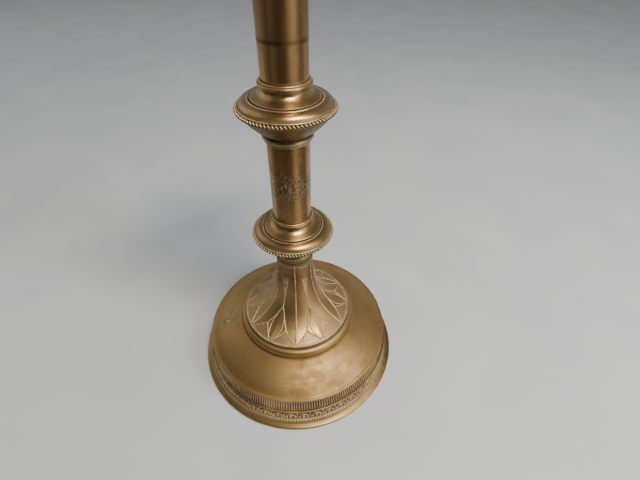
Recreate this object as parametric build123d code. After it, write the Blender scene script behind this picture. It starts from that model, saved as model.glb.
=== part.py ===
"""Turned brass pricket candlestick: a stack of separate pieces clamped on one tie rod.

Units are millimetres. +Z is up along the stem, and the origin is at the centre of the foot,
on the surface that the candlestick stands on. One leaf of the collar points along -Y.
"""

import os

from build123d import *

# ---- driving dimensions -------------------------------------------------------------------
foot_radius = 92.0
foot_hollow_radius = 78.0
foot_ledge_z = 6.9            # top of the foot ring, where the frieze stands
frieze_top_z = 17.6
reeded_top_z = 29.4
rim_radius = 82.3             # bead round the edge of the base plate
plate_top_z = 44.8            # flat middle of the base plate
plate_flat_radius = 51.0
sheet = 1.6                   # wall of the spun pieces
moulding_top_z = 55.0
collar_rim_radius = 47.0
collar_top_z = 122.4
neck_radius = 14.6

tube_radius = 13.9
tube_wall = 1.2
rod_radius = 4.0
rod_hole_radius = 4.3
thread_hole_radius = 4.05
rod_bottom_z = 27.0
rod_top_z = 382.5

knop_rope_radius = 30.9       # widest line of each knop
knop_z = {"lower": 147.6, "middle": 243.9, "upper": 340.2}   # height of each rope ring
knop_foot = -21.0             # bottom of a knop, from its rope ring
socket_ceiling = -18.5        # where a tube or spacer stops inside the knop
rope_low = -1.3
rope_high = 0.7
cap_top = 11.8
bead_seat = 13.2              # where a tube stands inside the bead ring
bead_top = 16.0

calyx_top = 35.9              # from the upper rope ring
pan_radius = 59.5
pan_hole_radius = 9.4
pan_sheet = 1.4
shoulder_radius = 9.0
spike_length = 70.0

rope_teeth = 36
frieze_lobes = 36
leaves = 6


# ---- helpers ------------------------------------------------------------------------------
def turned(*edges, arc=360.0):
    """Revolve a closed outline of (radius, height) edges about the stem axis."""
    outline = [piece for edge in edges for piece in (Plane.XZ * edge).edges()]
    return revolve(make_face(outline), Axis.Z, arc)


def block(inner, outer, bottom, top):
    """A plain turned ring with a square section."""
    return turned(Polyline((inner, bottom), (outer, bottom), (outer, top), (inner, top), close=True))


def around(shape, count, start=0.0):
    """Copies of a shape spaced evenly about the stem axis."""
    return [Rot(0, 0, start + 360.0 * i / count) * shape for i in range(count)]


def centred(shape, arc):
    """Turn a part-revolved shape so that its middle lies on -Y."""
    return Rot(0, 0, -90.0 - arc / 2) * shape


# ---- base ---------------------------------------------------------------------------------
def foot_ring():
    return turned(
        Polyline((85.8, foot_ledge_z), (82.6, foot_ledge_z), (82.6, 2.2), (foot_hollow_radius, 2.2),
                 (foot_hollow_radius, 0), (90.4, 0)),
        ThreePointArc((90.4, 0), (foot_radius, 1.6), (90.6, 3.1)),
        Spline((90.6, 3.1), (88.4, 4.0), (87.2, 5.4)),
        ThreePointArc((87.2, 5.4), (86.9, 6.5), (85.8, foot_ledge_z)),
    )


def frieze_band():
    band = turned(
        Polyline((83.9, 15.8), (85.4, foot_ledge_z), (83.8, foot_ledge_z), (82.0, frieze_top_z),
                 (83.9, frieze_top_z)),
        ThreePointArc((83.9, frieze_top_z), (85.0, 16.7), (83.9, 15.8)),
    )
    lobe_arc = 6.0
    lobe = turned(
        Line((83.6, 15.4), (84.8, 7.6)),
        ThreePointArc((84.8, 7.6), (85.6, 11.0), (83.6, 15.4)),
        arc=lobe_arc,
    )
    return band + around(centred(lobe, lobe_arc), frieze_lobes)


def reeded_band():
    return turned(
        ThreePointArc((83.3, frieze_top_z), (81.0, 22.6), (80.3, reeded_top_z)),
        Line((80.3, reeded_top_z), (78.8, reeded_top_z)),
        ThreePointArc((78.8, reeded_top_z), (79.4, 22.4), (81.7, frieze_top_z)),
        Line((81.7, frieze_top_z), (83.3, frieze_top_z)),
    )


def base_plate():
    return turned(
        Line((81.0, reeded_top_z), (78.8, reeded_top_z)),
        Line((78.8, reeded_top_z), (78.8, 30.9)),
        ThreePointArc((78.8, 30.9), (65.4, 38.7), (50.6, plate_top_z - sheet)),
        Polyline((50.6, plate_top_z - sheet), (rod_hole_radius, plate_top_z - sheet),
                 (rod_hole_radius, plate_top_z), (plate_flat_radius, plate_top_z)),
        ThreePointArc((plate_flat_radius, plate_top_z), (66.2, 40.3), (80.0, 32.3)),
        Line((80.0, 32.3), (80.9, 32.4)),
        ThreePointArc((80.9, 32.4), (rim_radius, 31.0), (81.0, reeded_top_z)),
    )


def collar_moulding():
    return turned(
        Line((38.0, plate_top_z), (49.2, plate_top_z)),
        Spline((49.2, plate_top_z), (50.9, 46.6), (51.2, 49.0), (50.5, 51.2), (49.2, 52.5)),
        Spline((49.2, 52.5), (47.6, 53.2), (46.6, 54.4)),
        Polyline((46.6, 54.4), (46.6, moulding_top_z), (38.0, moulding_top_z), (38.0, plate_top_z)),
    )


def collar_curve(offset):
    """The trumpet line of the leaf collar, moved outwards by offset, from the neck to the rim."""
    points = ((14.6, 120.0), (15.5, 102.2), (18.6, 85.6), (24.2, 72.8), (33.0, 63.8), (43.2, 58.2))
    return [(r + 0.7 * offset, z + 0.7 * offset) for r, z in points]


def leaf_collar():
    outer = [(neck_radius, collar_top_z)] + collar_curve(0) + [(46.2, 56.9)]
    inner = [(neck_radius - 1.8, collar_top_z)] + collar_curve(-1.8 / 0.7 * 0.8) + [(44.2, moulding_top_z)]
    collar = turned(
        Spline(*outer),
        ThreePointArc(outer[-1], (collar_rim_radius, 56.0), (46.4, moulding_top_z)),
        Line((46.4, moulding_top_z), inner[-1]),
        Spline(*inner),
        Line(inner[0], outer[0]),
    )
    rib_arc = 3.0
    crest = collar_curve(0.7)
    root = collar_curve(-0.9)
    main_rib = turned(Spline(*crest), Spline(*root), Line(crest[0], root[0]), Line(crest[-1], root[-1]),
                      arc=rib_arc)
    short_rib = turned(Spline(*crest[2:]), Spline(*root[2:]), Line(crest[2], root[2]),
                       Line(crest[-1], root[-1]), arc=rib_arc)
    ribs = around(centred(main_rib, rib_arc), leaves)
    ribs += around(centred(short_rib, rib_arc), leaves, start=180.0 / leaves)
    return collar + ribs


def neck_spacer():
    seat = knop_z["lower"] + knop_foot
    return turned(Polyline((rod_hole_radius, collar_top_z), (14.2, collar_top_z), (14.2, seat),
                           (tube_radius, seat), (tube_radius, knop_z["lower"] + socket_ceiling),
                           (rod_hole_radius, knop_z["lower"] + socket_ceiling), close=True))


# ---- knops, each drawn about its own rope ring --------------------------------------------
def knop_bowl():
    socket = tube_radius + 0.1
    return turned(
        Line((27.2, rope_low), (29.0, rope_low)),
        Spline((29.0, rope_low), (24.2, -7.8), (19.2, -12.2), (15.2, -15.6)),
        ThreePointArc((15.2, -15.6), (16.4, -17.2), (16.1, -18.9)),
        Spline((16.1, -18.9), (15.2, -19.8), (14.7, knop_foot)),
        Polyline((14.7, knop_foot), (socket, knop_foot), (socket, socket_ceiling),
                 (rod_hole_radius, socket_ceiling), (rod_hole_radius, -15.4), (12.6, -15.4)),
        Spline((12.6, -15.4), (17.6, -11.4), (22.6, -6.9), (27.2, rope_low)),
    )


def knop_rope():
    middle = (rope_low + rope_high) / 2
    core = turned(
        Polyline((29.6, rope_high), (26.0, rope_high), (26.0, rope_low), (29.6, rope_low)),
        ThreePointArc((29.6, rope_low), (knop_rope_radius - 0.5, middle), (29.6, rope_high)),
    )
    tooth_arc = 360.0 / rope_teeth / 2
    tooth = turned(
        Line((29.6, rope_high), (29.6, rope_low)),
        ThreePointArc((29.6, rope_low), (knop_rope_radius, middle), (29.6, rope_high)),
        arc=tooth_arc,
    )
    return core + around(centred(tooth, tooth_arc), rope_teeth)


def knop_shell():
    return turned(
        Line((26.4, rope_high), (29.3, rope_high)),
        ThreePointArc((29.3, rope_high), (29.6, 1.15), (29.3, 1.6)),
        Line((29.3, 1.6), (28.6, 1.6)),
        Spline((28.6, 1.6), (27.9, 3.2), (25.6, 4.9), (22.9, 5.4)),
        Polyline((22.9, 5.4), (22.0, 5.4), (22.0, 4.2), (18.0, 4.2), (18.0, 2.6), (24.6, 2.6),
                 (26.4, rope_high)),
    )


def knop_cap():
    return turned(
        Polyline((18.0, 4.2), (20.7, 4.2), (20.7, 5.2), (21.4, 5.5), (21.4, 6.0)),
        Spline((21.4, 6.0), (19.8, 6.9), (17.2, 7.8), (14.9, 9.4), (13.8, cap_top)),
        Polyline((13.8, cap_top), (rod_hole_radius, cap_top), (rod_hole_radius, 10.2), (12.2, 10.2)),
        Spline((12.2, 10.2), (13.8, 8.0), (18.0, 5.4)),
        Line((18.0, 5.4), (18.0, 4.2)),
    )


def knop_bead():
    socket = tube_radius + 0.1
    return turned(
        Line((9.0, cap_top), (13.8, cap_top)),
        ThreePointArc((13.8, cap_top), (16.1, 13.5), (15.0, 15.7)),
        Polyline((15.0, 15.7), (14.6, bead_top), (socket, bead_top), (socket, bead_seat),
                 (9.0, bead_seat), (9.0, cap_top)),
    )


def stem_tube(below, above):
    """Tube standing in the bead of one knop and stopping in the socket of the next."""
    return block(tube_radius - tube_wall, tube_radius, knop_z[below] + bead_seat,
                 knop_z[above] + socket_ceiling)


# ---- head: calyx, pan and spike -----------------------------------------------------------
head_z = knop_z["upper"] + calyx_top


def calyx():
    foot = knop_z["upper"] + bead_seat
    ledge = head_z - 2.0
    return turned(
        Polyline((12.2, foot + 3), (rod_hole_radius, foot + 3), (rod_hole_radius, foot),
                 (tube_radius, foot), (tube_radius, foot + 3.4)),
        Spline((tube_radius, foot + 3.4), (16.4, foot + 12), (21.6, foot + 17.2), (28.0, foot + 19.6)),
        Polyline((28.0, foot + 19.6), (28.0, head_z), (26.0, head_z), (26.0, ledge), (24.2, ledge)),
        Spline((24.2, ledge), (20.0, foot + 18.2), (14.6, foot + 12.6), (12.2, foot + 3)),
    )


def calyx_disc():
    return block(rod_hole_radius, 25.9, head_z - 2.0, head_z)


def drip_pan():
    top = head_z + pan_sheet
    return turned(
        Line((pan_hole_radius, head_z), (28.0, head_z)),
        Spline((28.0, head_z), (46.0, head_z + 4.2), (57.0, head_z + 11.8), tangents=((1, 0), (0.6, 0.8))),
        ThreePointArc((57.0, head_z + 11.8), (pan_radius, head_z + 13.0), (57.0, head_z + 14.2)),
        Spline((57.0, head_z + 14.2), (55.2, head_z + 12.2), (45.0, head_z + 5.6), (28.0, top),
               tangents=((-0.7, -0.7), (-1, 0))),
        Polyline((28.0, top), (10.8, top), (10.8, top + 1.2), (pan_hole_radius, top + 1.2),
                 (pan_hole_radius, head_z)),
    )


def pricket():
    socket_top = rod_top_z + 0.5
    neck = head_z + 11.0
    tip = head_z + spike_length
    return turned(
        Polyline((0, socket_top), (thread_hole_radius, socket_top), (thread_hole_radius, head_z),
                 (shoulder_radius, head_z), (shoulder_radius, head_z + 4.6)),
        Spline((shoulder_radius, head_z + 4.6), (6.6, head_z + 6.6), (5.4, neck)),
        Polyline((5.4, neck), (0.8, tip - 0.6), (0.4, tip), (0, tip), (0, socket_top)),
    )


# ---- tie rod and its clamp under the base -------------------------------------------------
clamp_top = plate_top_z - sheet
clamp_bottom = clamp_top - 3.0
washer_bottom = clamp_bottom - 1.6
nut_bottom = washer_bottom - 6.5


def tie_nut():
    hexagon = extrude(RegularPolygon(13.0 / 2, 6, major_radius=False), washer_bottom - nut_bottom)
    return Pos(0, 0, nut_bottom) * hexagon - block(0, thread_hole_radius, nut_bottom - 1, washer_bottom + 1)


parts = {
    "foot_ring": foot_ring(),
    "frieze_band": frieze_band(),
    "reeded_band": reeded_band(),
    "base_plate": base_plate(),
    "collar_moulding": collar_moulding(),
    "leaf_collar": leaf_collar(),
    "neck_spacer": neck_spacer(),
    "lower_stem_tube": stem_tube("lower", "middle"),
    "upper_stem_tube": stem_tube("middle", "upper"),
    "calyx": calyx(),
    "calyx_disc": calyx_disc(),
    "drip_pan": drip_pan(),
    "pricket": pricket(),
    "tie_rod": block(0, rod_radius, rod_bottom_z, rod_top_z),
    "clamp_plate": block(rod_hole_radius, 30.0, clamp_bottom, clamp_top),
    "lock_washer": block(thread_hole_radius, 7.4, washer_bottom, clamp_bottom),
    "tie_nut": tie_nut(),
}
knop_pieces = {"bowl": knop_bowl(), "rope": knop_rope(), "shell": knop_shell(), "cap": knop_cap(),
               "bead": knop_bead()}
for knop, height in knop_z.items():
    for piece, shape in knop_pieces.items():
        parts[f"{knop}_knop_{piece}"] = Pos(0, 0, height) * shape

os.makedirs("parts", exist_ok=True)
for name, shape in parts.items():
    export_step(shape, f"parts/{name}.step")
    print(f"{name:20s} solids {len(shape.solids())}  volume {shape.volume / 1000:8.2f} cm3")
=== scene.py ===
import math

import bpy
import numpy as np
from mathutils import Matrix, Vector

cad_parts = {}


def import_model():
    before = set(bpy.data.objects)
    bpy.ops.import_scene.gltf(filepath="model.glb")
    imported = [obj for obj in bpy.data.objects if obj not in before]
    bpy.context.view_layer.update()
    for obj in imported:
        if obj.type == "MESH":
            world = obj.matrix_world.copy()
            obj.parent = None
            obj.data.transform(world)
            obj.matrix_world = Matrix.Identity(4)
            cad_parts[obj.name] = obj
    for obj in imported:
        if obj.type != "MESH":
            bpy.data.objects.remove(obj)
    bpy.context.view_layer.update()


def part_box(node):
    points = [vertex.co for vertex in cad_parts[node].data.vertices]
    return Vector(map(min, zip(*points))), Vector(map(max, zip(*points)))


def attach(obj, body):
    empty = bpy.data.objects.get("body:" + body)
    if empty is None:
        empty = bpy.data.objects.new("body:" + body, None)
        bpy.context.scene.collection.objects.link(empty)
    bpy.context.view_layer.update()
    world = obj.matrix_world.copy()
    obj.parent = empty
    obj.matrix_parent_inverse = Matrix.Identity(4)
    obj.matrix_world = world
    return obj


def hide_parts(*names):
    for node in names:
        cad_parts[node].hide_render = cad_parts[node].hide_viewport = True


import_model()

# Heights and radii below are in millimetres and become metres only in the meshes. Angles round the stem are
# measured from the front of the candlestick, -Y, towards +X. One leaf of the collar points to the front.
MM = 0.001
RANDOM = np.random.default_rng(7)

# What a brass reads from a mesh, each from 0 to 1: pale is dried polish and painted highlights on edges and
# crests, dark is dirt and painted shade in gaps, grooves and under parts, shade is thin dull tarnish and on
# the knop bowls also painted shade, stain is speckled dirt, copper is reddish metal and green is verdigris.
MARKS = ("pale", "dark", "shade", "stain", "copper", "green")

ROD_HOLE = 4.6        # radius of the hole round the tie rod
CURVE_STEPS = 24      # points between two corners of a curve
ARC_STEPS = 32
SEGMENTS = 288        # round a plain piece
EASE_REACH = 8        # how many points each way the easing of a corner looks
SHARP = math.radians(38)


# ---- camera -------------------------------------------------------------------------------
def camera():
    """Low over the table and looking down at the foot, with the head of the candlestick out of frame."""
    place = Vector((13.92, -215.3, 333.2)) * MM
    pitch, yaw, roll = (math.radians(a) for a in (42.54, 1.785, -0.494))
    forward = Vector((math.sin(yaw) * math.cos(pitch), math.cos(yaw) * math.cos(pitch), -math.sin(pitch)))
    right = Vector((math.cos(yaw), -math.sin(yaw), 0))
    down = forward.cross(right)
    right, down = (right * math.cos(roll) + down * math.sin(roll),
                   down * math.cos(roll) - right * math.sin(roll))
    data = bpy.data.cameras.new("camera")
    data.lens = 20.839
    data.sensor_width = 36.0
    data.sensor_fit = "HORIZONTAL"
    data.clip_start = 0.01
    made = bpy.data.objects.new("camera", data)
    made.matrix_world = Matrix.Translation(place) @ Matrix((right, -down, -forward)).transposed().to_4x4()
    bpy.context.collection.objects.link(made)
    bpy.context.scene.camera = made


# ---- outlines: (radius, height) points, counter-clockwise ----------------------------------
def line(*corners):
    return np.array(corners, float)


def curve(*points):
    """A smooth line through the points."""
    p = np.array(points, float)
    p = np.vstack([2 * p[0] - p[1], p, 2 * p[-1] - p[-2]])
    t = np.linspace(0, 1, CURVE_STEPS)[:, None]
    spans = []
    for a, b, c, d in zip(p, p[1:], p[2:], p[3:]):
        spans.append(0.5 * (2 * b + (c - a) * t + (2 * a - 5 * b + 4 * c - d) * t ** 2
                            + (3 * b - a - 3 * c + d) * t ** 3))
    return np.vstack(spans)


def arc(start, middle, end):
    """The circular arc from start to end that passes through middle."""
    a, b, c = (complex(*p) for p in (start, middle, end))
    w = (c - a) / (b - a)
    centre = (b - a) * (w - abs(w) ** 2) / (2j * w.imag) + a
    first, last = np.angle(a - centre), np.angle(c - centre)
    way = np.sign(((b - a).conjugate() * (c - b)).imag)
    if way * (last - first) < 0:
        last += way * 2 * math.pi
    ring = centre + abs(a - centre) * np.exp(1j * np.linspace(first, last, ARC_STEPS))
    return np.column_stack([ring.real, ring.imag])


def outline(*strokes, ease=0.22, longest=3.0, turn=7.0, solid=False):
    """Join strokes end to end into one closed outline, ease its corners over about that distance, and keep
    only the points that it needs: one wherever it has turned by turn degrees or run for longest, which is a
    number or a function of the points. A solid outline starts and ends on the stem axis."""
    loop = np.vstack(strokes)
    if solid:
        loop = np.vstack([loop, loop[::-1] * (-1, 1)])
    gaps = np.linalg.norm(np.roll(loop, -1, 0) - loop, axis=1)
    loop = loop[gaps > 1e-6]
    gaps = gaps[gaps > 1e-6]
    along = np.append(0, np.cumsum(gaps))
    count = int(along[-1] / (ease / 2))
    even = np.linspace(0, along[-1], count, endpoint=False)
    ring = np.vstack([loop, loop[:1]])
    even = np.column_stack([np.interp(even, along, ring[:, k]) for k in (0, 1)])
    reach = np.arange(-EASE_REACH, EASE_REACH + 1)
    weight = np.exp(-0.5 * (reach / 2) ** 2)
    eased = sum(w * np.roll(even, k, 0) for k, w in zip(reach, weight)) / weight.sum()
    if solid:
        eased = eased[eased[:, 0] > ease / 4]
    limit = longest(eased) if callable(longest) else np.full(len(eased), longest)
    heading = np.unwrap(np.arctan2(*(np.roll(eased, -1, 0) - eased).T[::-1]))
    kept = [0]
    for k in range(1, len(eased)):
        last = kept[-1]
        bent = abs(heading[k - 1] - heading[last])
        if bent > math.radians(turn) or np.linalg.norm(eased[k] - eased[last]) > limit[k]:
            kept.append(k)
    return eased[kept]


def upright(loop):
    """The outline in counter-clockwise order, so that its faces look outwards."""
    x, y = loop.T
    return loop if np.sum(x * np.roll(y, -1) - np.roll(x, -1) * y) > 0 else loop[::-1]


def turned(name, loop, segments=SEGMENTS, relief=None, solid=False):
    """Mesh of an outline turned about the stem axis. relief(angle, radius, height) gives how far each point
    is lifted off the surface, and the marks there."""
    rows = len(loop)
    ahead, behind = (np.roll(loop, -1, 0), np.roll(loop, 1, 0))
    if solid:
        ahead[-1], behind[0] = loop[-1], loop[0]
    normal = (ahead - behind) @ np.array([[0, -1], [1, 0]])
    normal /= np.linalg.norm(normal, axis=1)[:, None]
    angle = np.arange(segments) * 2 * math.pi / segments
    theta, radius = np.meshgrid(angle, loop[:, 0])
    height = np.repeat(loop[:, 1:], segments, axis=1)
    marks = {mark: np.zeros_like(theta) for mark in MARKS}
    lift = waver(theta, radius, height)
    if relief:
        raised, found = relief(theta, radius, height)
        lift = lift + raised
        marks.update(found)
    radius = radius + lift * normal[:, :1]
    height = height + lift * normal[:, 1:]
    points = np.stack([radius * np.sin(theta), -radius * np.cos(theta), height], -1).reshape(-1, 3)
    i, j = np.meshgrid(np.arange(rows - 1 if solid else rows), np.arange(segments), indexing="ij")
    i, j = i.ravel(), j.ravel()
    up, on = (i + 1) % rows, (j + 1) % segments
    here, over = i * segments, up * segments
    faces = np.column_stack([here + j, here + on, over + on, over + j]).tolist()
    if solid:
        bottom, top = len(points), len(points) + 1
        points = np.vstack([points, (0, 0, loop[0, 1]), (0, 0, loop[-1, 1])])
        last = (rows - 1) * segments
        for k in range(segments):
            after = (k + 1) % segments
            faces += [(bottom, after, k), (top, last + k, last + after)]
    mesh = bpy.data.meshes.new(name)
    mesh.from_pydata((points * MM).tolist(), [], faces)
    for mark, values in marks.items():
        spread = np.zeros(len(points), np.float32)
        spread[:values.size] = np.clip(values, 0, 1).ravel()
        mesh.attributes.new(mark, "FLOAT", "POINT").data.foreach_set("value", spread)
    mesh.shade_smooth()
    mesh.set_sharp_from_angle(angle=SHARP)
    return mesh


WAVES = [(RANDOM.integers(1, 7), RANDOM.uniform(0.02, 0.16), *RANDOM.uniform(0, 2 * math.pi, 2))
         for _ in range(9)]
WAVE_DEPTH = 0.006


def waver(theta, radius, height):
    """The slight unevenness that hand spinning leaves, a few hundredths of a millimetre."""
    total = np.zeros_like(theta)
    for count, rate, first, second in WAVES:
        total += np.cos(count * theta + first) * np.cos(rate * (height + radius) + second)
    return WAVE_DEPTH * total


def show(node, mesh, slot, body="candlestick"):
    """The finished piece that stands for a CAD node."""
    piece = bpy.data.objects.new(f"{node}_piece", mesh)
    bpy.context.collection.objects.link(piece)
    mesh.materials.append(MATERIALS[slot])
    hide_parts(node)
    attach(piece, body)


def extent(node):
    """Lowest height, highest height and radius of a CAD node."""
    low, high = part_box(node)
    return low.z / MM, high.z / MM, high.x / MM


# ---- shared shapes of relief ---------------------------------------------------------------
def smooth(x, low, high):
    """0 below low and 1 above high, with an even rise between."""
    t = np.clip((x - low) / (high - low), 0, 1)
    return t * t * (3 - 2 * t)


def ridge(distance, width):
    """A rounded line of that full width along distance 0."""
    return np.clip(1 - (2 * distance / width) ** 2, 0, 1) ** 0.7


def within(x, low, high, soft):
    """1 between low and high, falling to 0 over soft on each side of both."""
    return smooth(x, low - soft, low + soft) * (1 - smooth(x, high - soft, high + soft))


# ---- materials ------------------------------------------------------------------------------
class Nodes:
    """A short way to write node trees. Values are numbers, colours or sockets."""

    def __init__(self, tree):
        self.tree = tree

    def add(self, kind, inputs=(), **settings):
        node = self.tree.nodes.new(f"ShaderNode{kind}")
        for name, value in settings.items():
            setattr(node, name, value)
        for key, value in dict(inputs).items():
            if isinstance(value, bpy.types.NodeSocket):
                self.tree.links.new(value, node.inputs[key])
            else:
                node.inputs[key].default_value = value
        return node

    def math(self, operation, a, b=0.0):
        return self.add("Math", {0: a, 1: b}, operation=operation).outputs[0]

    def noise(self, where, scale, detail=2.0, roughness=0.5, warp=0.0):
        node = self.add("TexNoise", {"Vector": where, "Scale": scale, "Detail": detail,
                                     "Roughness": roughness, "Distortion": warp})
        return node.outputs["Fac"]

    def ramp(self, value, low, high, to_low=0.0, to_high=1.0):
        node = self.add("MapRange", {"Value": value, "From Min": low, "From Max": high,
                                     "To Min": to_low, "To Max": to_high}, interpolation_type="SMOOTHSTEP")
        return node.outputs["Result"]

    def mix(self, factor, a, b):
        node = self.add("Mix", {0: factor, 6: (*a, 1) if isinstance(a, tuple) else a,
                                7: (*b, 1) if isinstance(b, tuple) else b}, data_type="RGBA")
        return node.outputs[2]

    def mark(self, name):
        return self.add("Attribute", attribute_name=name).outputs["Fac"]


def new_material(name):
    material = bpy.data.materials.new(name)
    material.use_nodes = True
    material.node_tree.nodes.clear()
    return material, Nodes(material.node_tree)


COPPER = (0.33, 0.14, 0.05)
SHADE = (0.105, 0.072, 0.043)
SPOT = (0.09, 0.055, 0.025)
# The next colour is dirt and painted shade in hollows, gaps and under parts.
GRIME_AND_SHADE = (0.045, 0.028, 0.014)
SPECKLE = (0.06, 0.046, 0.03)
VERDIGRIS = (0.17, 0.175, 0.085)
# The next colour is dried polish, and painted highlights on edges and crests.
RESIDUE_AND_HIGHLIGHT = (0.60, 0.53, 0.38)      # dried polish


def brass(name, bright, dull, roughness, brushed=0.4, tarnish=0.5, pits=0.25):
    """Aged brass. bright is the metal where it has been rubbed and dull where it has darkened. brushed is
    how much the turning marks stretch its reflections, tarnish how much of it is dull, and pits how spotted
    it is."""
    material, n = new_material(name)
    where = n.add("TexCoord").outputs["Object"]
    split = n.add("SeparateXYZ", {0: where})
    across, along = (n.math("POWER", split.outputs[k], 2.0) for k in (0, 1))
    out = n.math("SQRT", n.math("ADD", across, along))
    rings = n.add("CombineXYZ", {0: out, 1: split.outputs[2]}).outputs[0]

    cloud = n.noise(where, 16.0, 3.0, 0.55, 0.6)
    patch = n.noise(where, 95.0, 5.0, 0.62, 0.4)
    bands = n.noise(rings, 240.0, 3.0, 0.6)
    fine = n.noise(where, 900.0, 3.0, 0.6)
    dots = n.noise(where, 2100.0, 1.0)

    tone = n.math("ADD", n.math("MULTIPLY", cloud, 0.5), n.math("MULTIPLY", patch, 0.34))
    tone = n.math("ADD", tone, n.math("MULTIPLY", bands, 0.16))
    tone = n.ramp(tone, 0.62 - 0.3 * tarnish, 0.78 - 0.3 * tarnish)
    colour = n.mix(tone, bright, dull)
    copper = n.math("MULTIPLY", n.mark("copper"), n.ramp(n.noise(where, 30.0, 2.0), 0.2, 0.6, 0.35, 1.0))
    colour = n.mix(copper, colour, COPPER)
    shade = n.math("MULTIPLY", n.mark("shade"), n.ramp(patch, 0.2, 0.6, 0.8, 1.0))
    colour = n.mix(shade, colour, SHADE)
    spots = n.math("MULTIPLY", n.ramp(fine, 0.63, 0.72), n.ramp(patch, 0.48, 0.62))
    colour = n.mix(n.math("MULTIPLY", spots, pits), colour, SPOT)

    # Painted shade: the occlusion darkens hollows and gaps, and the dark mark adds dirt and painted shade.
    hollow = n.add("AmbientOcclusion", {"Distance": 0.0022}, samples=6).outputs["AO"]
    grime_and_shade = n.math("MAXIMUM", n.ramp(hollow, 0.52, 0.12), n.mark("dark"))
    grime_and_shade = n.math("MULTIPLY", grime_and_shade, n.ramp(fine, 0.2, 0.55, 0.8, 1.0))
    colour = n.mix(n.math("MULTIPLY", grime_and_shade, 0.92), colour, GRIME_AND_SHADE)

    speckle = n.math("MULTIPLY", n.mark("stain"), n.ramp(n.noise(where, 1150.0, 3.0, 0.65), 0.47, 0.56))
    colour = n.mix(n.math("MULTIPLY", speckle, 0.75), colour, SPECKLE)
    verdigris = n.math("MULTIPLY", n.mark("green"), n.ramp(n.noise(where, 190.0, 4.0, 0.65), 0.40, 0.62))
    colour = n.mix(n.math("MULTIPLY", verdigris, 0.95), colour, VERDIGRIS)
    crust = n.math("MULTIPLY", n.mark("stain"), n.ramp(n.noise(where, 1500.0, 3.0, 0.6), 0.55, 0.64))
    worn = n.ramp(n.noise(where, 330.0, 3.0), 0.35, 0.6, 0.5, 1.0)
    worn = n.math("MULTIPLY", n.ramp(fine, 0.3, 0.6, 0.45, 1.0), worn)
    # The pale mark is dried polish, and painted highlights on edges and crests.
    residue_and_highlight = n.math("MULTIPLY", n.mark("pale"), worn)
    residue_and_highlight = n.math("MAXIMUM", residue_and_highlight, n.math("MULTIPLY", crust, 0.62))
    colour = n.mix(residue_and_highlight, colour, RESIDUE_AND_HIGHLIGHT)

    rough = n.math("ADD", n.math("MULTIPLY", tone, 0.10), n.math("MULTIPLY", patch, 0.10))
    rough = n.math("ADD", rough, n.math("MULTIPLY", n.mark("shade"), 0.14))
    rough = n.math("ADD", rough, roughness - 0.06)
    rough = n.math("ADD", rough, n.math("MULTIPLY", n.math("MAXIMUM", grime_and_shade, residue_and_highlight), 0.35))
    cover = n.math("MAXIMUM", n.math("MULTIPLY", grime_and_shade, 0.6), n.math("MULTIPLY", residue_and_highlight, 0.8))
    cover = n.math("MAXIMUM", cover, n.math("MULTIPLY", verdigris, 0.45))
    metal = n.math("SUBTRACT", 1.0, cover)

    marks = n.noise(rings, 5200.0, 2.0, 0.6)
    relief = n.math("ADD", n.math("MULTIPLY", marks, 0.5), n.math("MULTIPLY", fine, 0.5))
    relief = n.math("ADD", relief, n.math("MULTIPLY", n.ramp(dots, 0.62, 0.74), -0.8 * pits))
    relief = n.math("ADD", relief, n.math("MULTIPLY", residue_and_highlight, n.math("MULTIPLY", dots, 1.6)))
    bump = n.add("Bump", {"Strength": 0.10, "Distance": 0.00012, "Height": relief})
    tangent = n.add("Tangent", direction_type="RADIAL", axis="Z")
    shader = n.add("BsdfPrincipled", {"Base Color": colour, "Metallic": metal, "Roughness": rough,
                                      "Anisotropic": brushed, "Anisotropic Rotation": 0.25,
                                      "Tangent": tangent.outputs[0], "Normal": bump.outputs[0]})
    n.add("OutputMaterial", {"Surface": shader.outputs[0]})
    return material


def steel(name):
    """Plain steel with brown rust in patches."""
    material, n = new_material(name)
    where = n.add("TexCoord").outputs["Object"]
    patch = n.noise(where, 130.0, 6.0, 0.65)
    fine = n.noise(where, 1500.0, 4.0, 0.7)
    rust = n.ramp(n.math("ADD", n.math("MULTIPLY", patch, 0.7), n.math("MULTIPLY", fine, 0.3)), 0.47, 0.60)
    colour = n.mix(rust, (0.42, 0.40, 0.38), n.mix(fine, (0.11, 0.045, 0.02), (0.30, 0.12, 0.045)))
    bump = n.add("Bump", {"Strength": 0.5, "Distance": 0.0002, "Height": n.math("MULTIPLY", fine, rust)})
    shader = n.add("BsdfPrincipled", {"Base Color": colour, "Metallic": n.math("SUBTRACT", 1.0, rust),
                                      "Roughness": n.ramp(rust, 0.0, 1.0, 0.34, 0.85),
                                      "Normal": bump.outputs[0]})
    n.add("OutputMaterial", {"Surface": shader.outputs[0]})
    return material


GOLD, BROWN, UMBER = (0.53, 0.35, 0.15), (0.38, 0.235, 0.10), (0.25, 0.155, 0.07)
PLATE_GOLD = (0.50, 0.33, 0.135)
TUBE_GOLD, TUBE_BROWN = (0.46, 0.28, 0.115), (0.33, 0.185, 0.075)
MATERIALS = {
    "foot_brass": brass("foot_brass", GOLD, UMBER, 0.34, tarnish=0.6, pits=0.4),
    "frieze_brass": brass("frieze_brass", GOLD, UMBER, 0.40, brushed=0.1, tarnish=0.7, pits=0.5),
    "plate_brass": brass("plate_brass", PLATE_GOLD, BROWN, 0.52, tarnish=0.5, pits=0.25),
    "collar_brass": brass("collar_brass", PLATE_GOLD, BROWN, 0.43, brushed=0.2, tarnish=0.45, pits=0.2),
    "knop_brass": brass("knop_brass", GOLD, BROWN, 0.29, tarnish=0.4, pits=0.15),
    "tube_brass": brass("tube_brass", TUBE_GOLD, TUBE_BROWN, 0.25, brushed=0.7, tarnish=0.5, pits=0.05),
    "pan_brass": brass("pan_brass", GOLD, BROWN, 0.31, tarnish=0.45, pits=0.25),
    "rod_steel": steel("rod_steel"),
}


# ---- foot -------------------------------------------------------------------------------------
PALMETTES = 48
REEDS = 240


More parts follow.
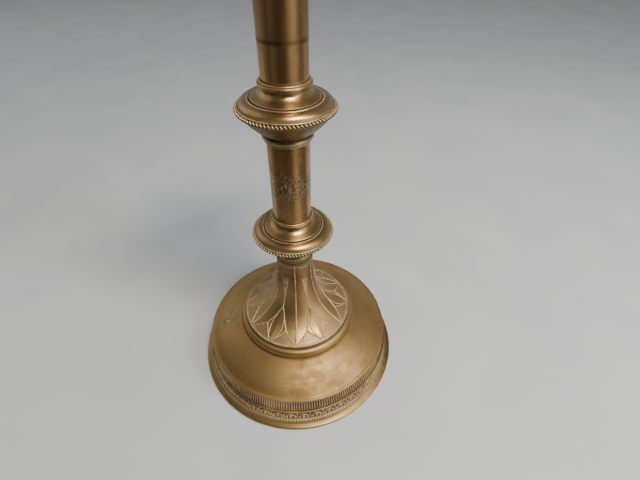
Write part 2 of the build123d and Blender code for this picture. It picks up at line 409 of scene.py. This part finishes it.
def foot_ring():
    floor, ledge, r = extent("foot_ring")
    inner, lip = r - 14.0, r - 9.4
    loop = outline(
        line((lip, ledge), (lip, 2.2), (inner, 2.2), (inner, floor), (r - 1.6, floor)),
        arc((r - 1.6, floor), (r, 1.6), (r - 1.4, 3.1)),
        curve((r - 1.4, 3.1), (r - 3.6, 4.0), (r - 4.8, 5.4)),
        arc((r - 4.8, 5.4), (r - 5.1, 6.5), (r - 6.2, ledge)),
    )

    def ticks(theta, radius, height):
        """A fine notched line round the top of the flange, with painted highlights on the notches and
        painted shade between them, and painted shade in the hollow below it.
        """
        crest = within(radius, r - 6.0, r - 4.6, 0.3) * smooth(height, 4.9, 5.6)
        tick = np.abs(np.cos(theta * REEDS / 2)) ** 0.7
        hollow = within(radius, r - 4.4, r - 1.8, 0.7) * within(height, 3.0, 5.0, 0.4)
        return crest * 0.3 * (tick - 1), {"dark": np.maximum(crest * (1 - tick), 0.3 * hollow),
                                          "pale": 0.3 * crest * tick}

    show("foot_ring", turned("foot_ring", loop, 6 * REEDS, ticks), "foot_brass")


def frieze_relief(theta, radius, height):
    """A row of palmettes, each under an arch, with a bud between the arches and fine ribs behind, with
    painted shade in the gaps round them and painted highlights on their tops.
    """
    low, top, _ = extent("frieze_band")
    face_top = top - 2.2
    pitch = 2 * math.pi * radius / PALMETTES
    x = ((theta * PALMETTES / (2 * math.pi)) % 1 - 0.5) * pitch
    y = height - low - 0.3
    face = within(height, low + 0.6, face_top, 0.3) * (radius > 83.2)
    side = np.abs(x)
    petal = np.clip(1 - (x / 1.5) ** 2 - ((y - 3.0) / 3.0) ** 2, 0, 1) ** 0.5
    petal = petal - 0.35 * ridge(x, 0.5) * (y < 5.4)
    flank = np.clip(1 - ((side - 2.9 - 0.12 * y) / 1.05) ** 2 - ((y - 2.3) / 2.1) ** 2, 0, 1) ** 0.5
    hoop = ridge(np.hypot(x, (y - 1.4) * 0.95) - 4.75, 1.05)
    bud = np.clip(1 - ((pitch / 2 - side) / 1.0) ** 2 - ((y - 6.6) / 1.3) ** 2, 0, 1) ** 0.5
    stem = ridge(pitch / 2 - side, 0.9) * (y < 5.6)
    motif = np.maximum.reduce([0.95 * petal, 0.75 * flank, 0.8 * hoop, 0.85 * bud, 0.6 * stem])
    ribs = 0.16 * np.abs(np.cos(theta * REEDS / 2))
    lift = face * np.maximum(motif * 0.95, ribs - 0.12)
    gap = face * (1 - smooth(motif, 0.02, 0.3))
    return lift, {"dark": gap, "pale": face * smooth(motif, 0.3, 0.7) * 0.85}


def frieze_band():
    low, top, _ = extent("frieze_band")
    loop = outline(
        line((81.9, top), (83.7, low), (85.2, low), (83.8, top - 1.8)),
        arc((83.8, top - 1.8), (85.0, top - 0.9), (83.8, top)),
        longest=lambda p: np.where((p[:, 0] > 83.5) & (p[:, 1] > low + 0.1), 0.33, 2.0),
    )
    show("frieze_band", turned("frieze_band", loop, 30 * PALMETTES, frieze_relief), "frieze_brass")


def reed_relief(theta, radius, height):
    """Fine upright reeds in the hollow, with painted shade between them and painted highlights on their
    crests.
    """
    low, top, _ = extent("reeded_band")
    middle = np.interp(height - low, (0.0, 5.0, top - low), (82.5, 80.2, 79.55))     # of the sheet
    face = (radius > middle) * within(height, low + 0.9, top - 0.9, 0.4)
    reed = np.abs(np.cos(theta * REEDS / 2)) ** 1.1
    return face * 0.7 * reed, {"dark": face * (1 - smooth(reed, 0.1, 0.8)),
                               "pale": face * 0.7 * smooth(reed, 0.7, 1.0)}


def reeded_band():
    low, top, _ = extent("reeded_band")
    loop = outline(
        arc((83.3, low), (81.0, low + 5.0), (80.3, top)),
        line((80.3, top), (78.9, top)),
        arc((78.9, top), (79.5, low + 4.8), (81.8, low)),
        longest=0.8,
    )
    show("reeded_band", turned("reeded_band", loop, 6 * REEDS, reed_relief), "frieze_brass")


def plate_marks(theta, radius, height):
    """A darker band inside the rim, painted shade round the foot of the moulding, and a green stain with a
    pale fleck.
    """
    band = within(radius, 73.5, 79.0, 1.6) * (0.16 + 0.05 * np.cos(theta * 2 + 1.0))
    seat = 1 - smooth(radius, 51.0, 53.0)
    top = height > extent("base_plate")[0] + 2.0
    away = np.hypot(radius * np.sin(theta) + 64.0, 0.7 * (radius * -np.cos(theta) + 5.0))
    fleck = np.hypot(radius * np.sin(theta) + 65.5, radius * -np.cos(theta) + 7.5)
    return 0 * radius, {"shade": band, "dark": 0.6 * seat, "green": top * (1 - smooth(away, 4.5, 10.5)),
                        "pale": top * 0.7 * (1 - smooth(fleck, 0.9, 1.9))}


def base_plate():
    low, top, r = extent("base_plate")
    under = top - 1.6
    loop = outline(
        line((r - 1.3, low), (r - 3.5, low), (r - 3.5, low + 1.5)),
        arc((r - 3.5, low + 1.5), (65.4, 38.7), (50.6, under)),
        line((50.6, under), (ROD_HOLE, under), (ROD_HOLE, top), (51.0, top)),
        arc((51.0, top), (66.2, 40.3), (80.0, 32.3)),
        line((80.0, 32.3), (r - 1.4, low + 3.0)),
        arc((r - 1.4, low + 3.0), (r, low + 1.6), (r - 1.3, low)),
        longest=1.5, turn=4.0,
    )
    show("base_plate", turned("base_plate", upright(loop), 480, plate_marks), "plate_brass")


# ---- collar -----------------------------------------------------------------------------------
def moulding_marks(theta, radius, height):
    """Painted shade in the groove under the collar's rim and where the moulding meets the plate."""
    low, top, _ = extent("collar_moulding")
    groove = smooth(height, top - 3.0, top - 1.2) * (1 - smooth(radius, 48.0, 49.4))
    seat = 1 - smooth(height, low + 0.8, low + 3.4)
    return 0 * theta, {"dark": np.maximum(0.95 * groove, 0.7 * seat)}


def collar_moulding():
    low, top, _ = extent("collar_moulding")
    loop = outline(
        line((38.0, top), (38.0, low), (49.2, low)),
        curve((49.2, low), (50.9, low + 1.8), (51.2, low + 4.2), (50.5, low + 6.4), (49.2, low + 7.7)),
        curve((49.2, low + 7.7), (47.6, low + 8.4), (46.6, low + 9.6)),
        line((46.6, low + 9.6), (46.6, top)),
    )
    show("collar_moulding", turned("collar_moulding", loop, 360, moulding_marks), "collar_brass")


def trumpet(grow):
    """The line of the leaf collar from its neck to its rim, moved outwards by about grow."""
    base, top, _ = extent("leaf_collar")
    neck = 14.6
    points = ((neck, 65.0), (15.5, 47.2), (18.6, 30.6), (24.2, 17.8), (33.0, 8.8), (43.2, 3.2), (46.2, 1.9))
    shift = 0.7 * grow
    return [(neck + shift, top)] + [(r + shift, base + z + shift) for r, z in points]


LEAVES = 6
FORK, SHOULDER = 0.60, 0.845      # where the short leaves start and where they are widest, down the collar


def leaf_relief(theta, radius, height):
    """Six long pointed leaves with a rib each, six short ones between them, and cut triangles round the
    rim."""
    path = curve(*trumpet(0))
    steps = np.append(0, np.cumsum(np.linalg.norm(np.diff(path, axis=0), axis=1)))
    rows = np.column_stack([radius[:, 0], height[:, 0]])
    apart = np.linalg.norm(rows[:, None] - path[None], axis=2)
    nearest = apart.argmin(1)
    down = (steps[nearest] / steps[-1])[:, None] + 0 * theta
    outer = (apart.min(1) < 0.35)[:, None] * within(down, 0.02, 0.985, 0.006)
    length = steps[-1]

    sector = 2 * math.pi / LEAVES
    turn = (theta + sector / 2) % sector - sector / 2          # from the nearest long leaf
    x = turn * radius
    half = sector / 2 * radius                                 # to the middle of the short leaf
    side = np.abs(x)
    y = down * length
    fork, shoulder = FORK * length, SHOULDER * length

    reach = np.clip((y - fork) / (shoulder - fork), 0, 1)
    closing = np.clip((y - shoulder) / (length - shoulder), 0, 1)
    short_half = half / 2 * np.where(y < shoulder, reach ** 0.8, 1 - closing)
    long_half = half - half / 2 * (reach ** 0.8) - half / 2 * closing
    from_short = half - side                                   # distance from the short leaf's midline

    rib = ridge(x, 1.15) * smooth(down, 0.0, 0.03)
    edge_short = ridge(from_short - short_half, 1.0) * (y > fork - 1)
    edge_long = ridge(side - long_half, 1.0) * (y > shoulder - 1)
    wedge_half = np.interp(down, (0.20, 0.27, 0.45), (1.9, 1.8, 0.0))
    wedge = (from_short < wedge_half) & (down > 0.22) & (down < 0.46)
    wedge_edge = ridge(from_short - wedge_half, 0.7) * within(down, 0.21, 0.46, 0.01)
    seam = ridge(from_short, 0.8) * within(down, 0.42, FORK, 0.01)
    blade = np.clip((down - FORK - 0.01) / (0.985 - FORK), 0, 1)
    blade_half = 0.30 * half * np.sin(math.pi * blade) ** 0.8
    in_blade = (from_short < blade_half) & (blade > 0) & (blade < 1)
    vein = ridge(from_short - blade_half, 0.6) * (blade > 0.01) * (blade < 0.99)
    fold = 0.55 * in_blade * np.clip(1 - from_short / np.maximum(blade_half, 0.2), 0, 1)
    cut = (side > long_half) & (from_short > short_half) & (y > shoulder)

    brow = ridge(y - 2.2 - 1.8 * np.abs(np.sin(theta * LEAVES / 2)), 0.8)
    lines = np.maximum.reduce([rib, edge_short, edge_long, wedge_edge * 0.8, seam * 0.8, vein * 0.65,
                               brow * 0.4])
    hatch = np.maximum(np.cos((x + y) * 2 * math.pi / 2.5), np.cos((x - y) * 2 * math.pi / 2.5))
    dots = np.cos(x * 2 * math.pi / 0.9) * np.cos(y * 2 * math.pi / 0.9)
    belly = 0.5 * np.clip(1 - side / np.maximum(long_half, 0.5), 0, 1) * smooth(down, 0.25, 0.7)
    belly = belly * (side < long_half)
    lift = 0.45 * lines + np.maximum(0.25 * belly, fold - 0.1) * (1 - lines)
    lift = np.where(cut, np.maximum(-0.45 + 0.26 * hatch, 0.45 * lines), lift)
    lift = np.where(wedge, np.maximum(-0.15 + 0.14 * dots, 0.45 * lines), lift)
    foot = smooth(lines, 0.02, 0.25) * (1 - 0.35 * smooth(lines, 0.5, 0.95))
    pale = np.maximum(0.95 * foot, np.where(cut, 0.32 * hatch, 0))
    pale = np.maximum(pale, np.where(wedge, 0.6 + 0.3 * dots, 0))
    # Painted shade in the hollows of the cut hatching.
    dark = np.where(cut, 0.5 - 0.6 * hatch, 0) * (lines < 0.3)
    copper = within(down, 0.05, 0.50, 0.12) * np.cos(theta * LEAVES / 2) ** 2
    # Painted highlight along the rim's edge.
    edge = smooth(down, 0.982, 0.992) * (apart.min(1) < 0.9)[:, None]
    return outer * lift, {"pale": np.maximum(outer * pale, 0.55 * edge), "dark": outer * dark,
                          "copper": copper, "shade": 0.45 * within(down, -0.1, 0.36, 0.14)}


def leaf_collar():
    base, _, r = extent("leaf_collar")
    outer, inner = trumpet(0), trumpet(-2.0)[:-1]
    rim = outer[-1]
    path = curve(*outer)

    def spacing(points):
        apart = np.linalg.norm(points[:, None] - path[None], axis=2).min(1)
        return np.where(apart < 0.5, 0.30, 2.5)

    loop = outline(
        curve(*inner),
        line(inner[-1], (44.4, base), (46.1, base)),
        arc((46.1, base), (r + 0.15, base + 0.95), (rim[0], rim[1] + 0.15)),
        path[::-1],
        longest=spacing, ease=0.16,
    )
    show("leaf_collar", turned("leaf_collar", upright(loop), 1080, leaf_relief), "collar_brass")


def neck_spacer():
    low, top, r = extent("neck_spacer")
    seat = extent("lower_knop_bowl")[0]
    loop = outline(line((ROD_HOLE, low), (r, low), (r, seat), (13.8, seat), (13.8, top), (ROD_HOLE, top)))
    # The whole spacer is darkened: painted shade under the lower knop's bowl.
    show("neck_spacer", turned("neck_spacer", loop, relief=lambda t, r, z: (0 * t, {"dark": 0.75 + 0 * t})),
         "knop_brass")


# ---- knops ------------------------------------------------------------------------------------
STRANDS = 82


def knop(name):
    """Bowl, rope, shell, cap and bead of one knop, drawn about the height of its rope ring."""
    low, top, wide = extent(f"{name}_knop_rope")
    z = low + 1.3
    core = (low + top) / 2

    bowl = outline(
        line((12.6, z - 15.4), (ROD_HOLE, z - 15.4), (ROD_HOLE, z - 18.5), (14.0, z - 18.5),
             (14.0, z - 21.0), (14.7, z - 21.0)),
        curve((14.7, z - 21.0), (15.3, z - 20.5), (15.4, z - 20.0), (15.0, z - 19.5)),
        curve((15.0, z - 19.5), (15.8, z - 19.2), (16.4, z - 18.4), (16.5, z - 17.5), (16.0, z - 16.6),
              (15.1, z - 16.2)),
        line((15.1, z - 16.2), (15.1, z - 15.4)),
        curve((15.1, z - 15.4), (17.0, z - 14.2), (20.6, z - 11.3), (24.6, z - 7.4), (27.6, z - 3.6),
              (28.9, low)),
        line((28.9, low), (27.2, low)),
        curve((27.2, low), (22.6, z - 6.9), (17.6, z - 11.4), (12.6, z - 15.4)),
    )
    rope = outline(
        line((26.0, top), (26.0, low), (29.5, low + 0.1)),
        arc((29.5, low + 0.1), (wide - 0.4, core), (29.5, top - 0.1)),
        ease=0.12, turn=10.0,
    )
    shell = outline(
        line((26.4, top), (29.3, top)),
        arc((29.3, top), (29.6, top + 0.45), (29.3, top + 0.9)),
        line((29.3, top + 0.9), (28.8, top + 1.0), (28.6, top + 0.5)),
        curve((28.6, top + 0.5), (27.9, z + 3.2), (26.3, z + 4.6), (24.4, z + 5.3), (22.9, z + 5.3)),
        line((22.9, z + 5.3), (22.75, z + 5.75), (22.15, z + 5.75), (21.9, z + 4.8), (21.9, z + 4.2),
             (18.0, z + 4.2), (18.0, z + 2.6), (24.6, z + 2.6), (26.4, top)),
        ease=0.1,
    )
    cap = outline(
        line((18.0, z + 4.3), (20.7, z + 4.3), (20.7, z + 5.3), (21.4, z + 5.6), (21.45, z + 6.0)),
        curve((21.45, z + 6.0), (20.7, z + 6.5), (19.2, z + 7.1), (17.2, z + 7.8), (15.4, z + 8.9),
              (14.2, z + 10.2), (13.8, z + 11.8)),
        line((13.8, z + 11.8), (ROD_HOLE, z + 11.8), (ROD_HOLE, z + 10.2), (12.2, z + 10.2)),
        curve((12.2, z + 10.2), (13.8, z + 8.0), (18.0, z + 5.4)),
        line((18.0, z + 5.4), (18.0, z + 4.3)),
        ease=0.12,
    )
    bead = outline(
        line((9.0, z + 11.8), (13.8, z + 11.8)),
        curve((13.8, z + 11.8), (15.2, z + 12.0), (16.0, z + 12.8), (16.15, z + 13.7), (15.8, z + 14.6),
              (15.2, z + 15.0)),
        line((15.2, z + 15.0), (15.25, z + 15.7), (14.8, z + 16.0), (14.0, z + 15.9), (14.0, z + 13.2),
             (9.0, z + 13.2)),
        ease=0.14,
    )

    def strands(theta, radius, height):
        """Slanting strands with painted highlights on the rope's upper half, and painted shade between
        them, along the seam and on the lower half.
        """
        round_section = np.arctan2(height - core, radius - 29.4)
        face = smooth(radius, 29.1, 29.5)
        strand = np.abs(np.sin(theta * STRANDS / 2 + round_section * 0.9))
        gap = 1 - smooth(strand, 0.38, 0.72)
        seam = within(radius, 29.0, 29.65, 0.1) * (height > core)
        below = smooth(core - height, -0.45, 0.15)
        return face * (0.95 * smooth(strand, 0.2, 0.95) - 0.55), {
            "dark": face * np.maximum.reduce([gap, seam, 0.9 * below]),
            "pale": 0.7 * face * smooth(strand, 0.68, 0.90) * (1 - below) * (1 - seam)}

    def undercut(theta, radius, height):
        """Ragged painted shade in the neck under the bead, and a painted shadow in the gap round the cap,
        widest at the front.
        """
        ragged = 0.35 * np.cos(5 * theta + 1.0) + 0.25 * np.cos(13 * theta + 2.0)
        neck = within(height, z + 10.5 + ragged, z + 11.9, 0.5) * (radius > 12.5)
        neck = neck * (0.72 + 0.28 * np.cos(3 * theta + 0.6))
        gap = within(height, z + 4.0, z + 5.4, 0.1) * within(radius, 20.0, 21.2, 0.1)
        rim = smooth(radius, 20.8, 21.2) * (0.62 + 0.38 * np.cos(theta - 0.15))
        return 0 * theta, {"dark": np.maximum.reduce([neck, gap, rim]),
                           "shade": 0.5 * within(radius, 17.0, 20.6, 0.8)}

    def inner_edge(theta, radius, height):
        """Painted highlights on the shell's two edges, each beside a line of painted shade."""
        gap = within(height, z + 4.0, z + 4.9, 0.15) * within(radius, 20.0, 22.4, 0.1)
        step = within(radius, 28.1, 28.65, 0.15) * (height > top + 0.2)
        lines = np.maximum(within(radius, 28.75, 29.5, 0.1) * (height > top + 0.5),
                           within(radius, 22.05, 22.8, 0.1) * (height > z + 5.35))
        return 0 * theta, {"dark": np.maximum(gap, 0.85 * step), "pale": 0.7 * lines,
                           "shade": 0.4 * within(radius, 23.0, 25.6, 0.8)}

    def lip(theta, radius, height):
        """Painted shade above and below the bead's round, and a painted highlight on its top edge."""
        groove = within(height, z + 14.7, z + 15.3, 0.1) * (radius > 15.0)
        below = 1 - smooth(height, z + 11.8, z + 12.6)
        crest = within(radius, 14.6, 15.2, 0.15) * (height > z + 15.6)
        return 0 * theta, {"dark": np.maximum(0.8 * groove, 0.8 * below), "pale": 0.4 * crest}

    def under(theta, radius, height):
        """Dull tarnish and painted shade on the bowl, painted shade in the grooves of its foot, and painted
        highlights on the foot's rings.
        """
        groove = within(height, z - 16.5, z - 14.9, 0.2) + 0.95 * within(height, z - 19.8, z - 19.1, 0.15)
        bowl_side = within(height, z - 15.5, low, 0.8) * (radius > 15.0)
        ring = within(height, z - 18.4, z - 17.2, 0.3) * (radius > 16.0)
        ring = np.maximum(ring, within(height, z - 20.5, z - 20.0, 0.15) * (radius > 15.1))
        return 0 * theta, {"dark": np.clip(groove, 0, 1), "shade": np.maximum(0.85 * bowl_side, 0.35),
                           "pale": 0.45 * ring}

    for part, loop, segments, relief in (
            ("bowl", bowl, SEGMENTS, under), ("rope", rope, 10 * STRANDS, strands),
            ("shell", shell, SEGMENTS, inner_edge), ("cap", cap, SEGMENTS, undercut),
            ("bead", bead, SEGMENTS, lip)):
        node = f"{name}_knop_{part}"
        show(node, turned(node, loop, segments, relief), "knop_brass")


def lower_tube_marks(theta, radius, height):
    """A ragged ring of speckled dirt with a pale crust at its front, and painted shade where the tube
    enters the bead."""
    low, top, r = extent("lower_stem_tube")
    ring = within(height, low + 22.0 + 1.5 * np.cos(theta), low + 42.0 + 1.5 * np.cos(2 * theta + 1.2), 1.6)
    crust = np.hypot(r * (theta + 0.10), 0.6 * (height - low - 31.0))
    foot = 0.7 * (1 - smooth(height, low + 2.4, low + 4.0))
    return 0 * theta, {"stain": ring * (0.75 + 0.25 * np.cos(theta)), "dark": foot,
                       "pale": 0.6 * (1 - smooth(crust, 0.6, 3.4)),
                       "copper": 0.35 * smooth(height, low + 44, top)}


def upper_tube_marks(theta, radius, height):
    """A darker slanting ring with duller metal above it."""
    low = extent("upper_stem_tube")[0]
    slant = height - low - 23.6 - 0.4 * np.sin(theta)
    ring = within(slant, -0.9, 0.9, 0.5)
    # Painted shade where the tube enters the bead.
    foot = 0.7 * (1 - smooth(height, low + 2.4, low + 4.0))
    return 0 * theta, {"dark": foot, "shade": np.maximum(0.95 * ring, 0.22 * smooth(slant, 0.0, 1.5))}


def stem_tube(node, marks):
    low, top, r = extent(node)
    loop = outline(line((r - 1.2, low), (r, low), (r, top), (r - 1.2, top)), longest=2.0)
    show(node, turned(node, loop, 360, marks), "tube_brass")


# ---- head ---------------------------------------------------------------------------------------
def calyx():
    low, top, r = extent("calyx")
    ledge = top - 2.0
    loop = outline(
        line((12.2, low + 3.0), (ROD_HOLE, low + 3.0), (ROD_HOLE, low), (13.8, low), (13.8, low + 3.2)),
        curve((13.8, low + 3.2), (14.8, low + 3.8), (14.8, low + 4.6), (13.9, low + 5.2)),
        curve((13.9, low + 5.2), (14.6, low + 8.4), (16.6, low + 12.2), (21.6, low + 17.0),
              (r - 0.1, low + 19.6)),
        line((r - 0.1, low + 19.6), (r, top), (26.0, top), (26.0, ledge), (24.2, ledge)),
        curve((24.2, ledge), (20.0, low + 18.2), (14.6, low + 12.6), (12.2, low + 3.0)),
    )
    show("calyx", turned("calyx", loop), "knop_brass")


def calyx_disc():
    low, top, r = extent("calyx_disc")
    loop = outline(line((ROD_HOLE, low), (r, low), (r, top), (ROD_HOLE, top)))
    show("calyx_disc", turned("calyx_disc", loop), "knop_brass")


def drip_pan():
    low, top, r = extent("drip_pan")
    sheet = low + 1.4
    hole = 9.4
    loop = outline(
        line((hole, low), (28.0, low)),
        curve((28.0, low), (37.0, low + 1.2), (46.0, low + 4.2), (52.4, low + 8.0), (57.0, low + 11.8)),
        arc((57.0, low + 11.8), (r, low + 13.0), (57.0, top)),
        curve((57.0, top), (55.0, low + 12.0), (51.0, low + 9.0), (45.0, low + 5.6), (37.0, low + 2.6),
              (28.0, sheet)),
        line((28.0, sheet), (10.8, sheet), (10.8, sheet + 1.2), (hole, sheet + 1.2), (hole, low)),
        turn=5.0,
    )

    def wax(theta, radius, height):
        foot = (1 - smooth(radius, 22.0, 34.0)) * smooth(height, low + 0.9, low + 1.3)
        return 0 * theta, {"pale": 0.22 * foot, "stain": 0.35 * foot}

    show("drip_pan", turned("drip_pan", loop, 480, wax), "pan_brass", body="drip_pan")


def pricket():
    low, top, r = extent("pricket")
    socket_top = extent("tie_rod")[1] + 0.5
    loop = outline(
        line((0, socket_top), (4.1, socket_top), (4.1, low), (r, low), (r, low + 4.6)),
        curve((r, low + 4.6), (8.0, low + 5.2), (6.6, low + 6.8), (5.6, low + 9.0), (5.4, low + 11.0)),
        line((5.4, low + 11.0), (0.8, top - 0.6), (0, top)),
        solid=True, ease=0.12,
    )
    show("pricket", turned("pricket", loop, 96, solid=True), "pan_brass")


# ---- tie rod and clamp ------------------------------------------------------------------------
def tie_rod():
    low, top, r = extent("tie_rod")
    pitch = 1.25
    threaded = 16.0
    loop = outline(line((0, low), (r - 0.3, low), (r - 0.3, top), (0, top)), solid=True, longest=0.3)

    def thread(theta, radius, height):
        groove = np.abs((height / pitch - theta / (2 * math.pi)) % 1 - 0.5) * 2
        cut = within(height, low + 0.6, low + threaded, 0.4) * smooth(radius, r - 0.7, r - 0.4)
        return cut * (groove - 1) * 0.45 + 0.25 * smooth(radius, r - 0.7, r - 0.4), {}

    show("tie_rod", turned("tie_rod", loop, 48, thread, solid=True), "rod_steel")


# How far the nut's hexagon is turned about the stem.
FLAT = math.pi / 6 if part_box("tie_nut")[1].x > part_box("tie_nut")[1].y else 0.0


def clamp_pieces():
    for node, hole in (("clamp_plate", ROD_HOLE), ("lock_washer", 4.2)):
        low, top, r = extent(node)
        loop = outline(line((hole, low), (r, low), (r, top), (hole, top)), ease=0.25)
        show(node, turned(node, loop, 192), "rod_steel")
    low, top, _ = extent("tie_nut")
    apothem = min(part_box("tie_nut")[1].x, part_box("tie_nut")[1].y) / MM
    loop = outline(line((4.1, low), (apothem, low), (apothem, top), (4.1, top)), longest=0.4)

    def hexagon(theta, radius, height):
        corner = apothem / np.cos((theta + FLAT) % (math.pi / 3) - math.pi / 6)
        chamfer = apothem + 0.05 + 1.6 * np.minimum(height - low, top - height)
        return smooth(radius, apothem - 0.5, apothem - 0.1) * (np.minimum(corner, chamfer) - apothem), {}

    show("tie_nut", turned("tie_nut", loop, 96, hexagon), "rod_steel")


# ---- studio -----------------------------------------------------------------------------------
def floor():
    bpy.ops.mesh.primitive_circle_add(vertices=96, radius=7.0, fill_type="NGON")
    made = bpy.context.object
    made.name = "floor"
    material, n = new_material("floor")
    where = n.add("TexCoord").outputs["Object"]
    tone = n.ramp(n.noise(where, 9.0, 4.0), 0.3, 0.7)
    colour = n.mix(tone, (0.64, 0.69, 0.74), (0.70, 0.745, 0.79))
    shader = n.add("BsdfPrincipled", {"Base Color": colour, "Roughness": 0.45})
    n.add("OutputMaterial", {"Surface": shader.outputs[0]})
    made.data.materials.append(material)


def soft_light(name, place, aim, size, power, colour=(1, 1, 1)):
    data = bpy.data.lights.new(name, "AREA")
    data.shape = "RECTANGLE"
    data.size, data.size_y = size
    data.energy = power
    data.color = colour
    made = bpy.data.objects.new(name, data)
    made.location = place
    made.rotation_euler = (Vector(aim) - Vector(place)).to_track_quat("-Z", "Y").to_euler()
    bpy.context.collection.objects.link(made)


def cards():
    """Curved cards round the front of the candlestick that only reflections see. They grade from dark, at
    the front, to a bright strip on the right and dimmer ones at both ends."""
    radius, height = 0.20, 0.36
    degrees = np.arange(-96, 105, 2)          # round the stem, from the front
    turn = np.radians(degrees)
    points = [(radius * math.sin(a), -radius * math.cos(a), z) for z in (0.002, height) for a in turn]
    count = len(turn)
    mesh = bpy.data.meshes.new("cards")
    mesh.from_pydata(points, [], [(k, k + 1, count + k + 1, count + k) for k in range(count - 1)])
    stops = (-96, -84, -70, -58, -45, -32, -15, 5, 18, 30, 42, 53, 66, 84, 104)
    upper = (0.34, 0.26, 0.17, 0.14, 0.28, 0.18, 0.09, 0.085, 0.1, 0.38, 0.54, 0.36, 0.16, 0.28, 0.36)
    lower = (0.22, 0.18, 0.12, 0.08, 0.06, 0.06, 0.06, 0.08, 0.17, 0.56, 0.66, 0.22, 0.08, 0.14, 0.20)
    ease = np.hanning(9)[1:-1] / np.hanning(9).sum()
    glow = []
    for row in (lower, upper):
        padded = np.pad(np.interp(degrees, stops, row), 3, "edge")
        glow.append(np.convolve(padded, ease, "valid"))
    glow = np.concatenate(glow).astype(np.float32)
    mesh.attributes.new("glow", "FLOAT", "POINT").data.foreach_set("value", glow)
    made = bpy.data.objects.new("cards", mesh)
    bpy.context.collection.objects.link(made)
    material, n = new_material("cards")
    shader = n.add("Emission", {"Color": (1.0, 0.98, 0.95, 1), "Strength": n.mark("glow")})
    n.add("OutputMaterial", {"Surface": shader.outputs[0]})
    mesh.materials.append(material)
    made.visible_camera = made.visible_diffuse = made.visible_shadow = made.visible_transmission = False


def world():
    """A grey room that the metal reflects, lighter behind the candlestick and darker towards the front, and
    a plain pale backdrop."""
    made = bpy.data.worlds.new("room")
    made.use_nodes = True
    made.node_tree.nodes.clear()
    n = Nodes(made.node_tree)
    split = n.add("SeparateXYZ", {0: n.add("TexCoord").outputs["Generated"]})
    tone = n.ramp(split.outputs[1], -0.9, 0.9)
    colour = n.mix(tone, (0.12, 0.12, 0.125), (0.40, 0.40, 0.41))
    sky = n.mix(n.ramp(split.outputs[2], 0.3, 0.9), colour, (0.20, 0.20, 0.21))
    backdrop = n.add("LightPath").outputs["Is Camera Ray"]
    back = n.add("Background", {"Color": n.mix(backdrop, sky, (0.62, 0.64, 0.66)), "Strength": 0.9})
    n.add("OutputWorld", {"Surface": back.outputs[0]})
    bpy.context.scene.world = made


def lights():
    middle = (0, 0, 0.15)
    soft_light("overhead", (0.35, -0.45, 1.35), middle, (0.44, 0.32), 15.0, (1.0, 0.90, 0.73))
    soft_light("right_strip", (0.95, -0.55, 0.75), middle, (0.40, 1.1), 10.5)
    soft_light("left_fill", (-1.3, 0.5, 1.1), middle, (1.6, 1.6), 2.6)


camera()
foot_ring()
frieze_band()
reeded_band()
base_plate()
collar_moulding()
leaf_collar()
neck_spacer()
for place in ("lower", "middle", "upper"):
    knop(place)
stem_tube("lower_stem_tube", lower_tube_marks)
stem_tube("upper_stem_tube", upper_tube_marks)
calyx()
calyx_disc()
drip_pan()
pricket()
tie_rod()
clamp_pieces()
floor()
cards()
lights()
world()
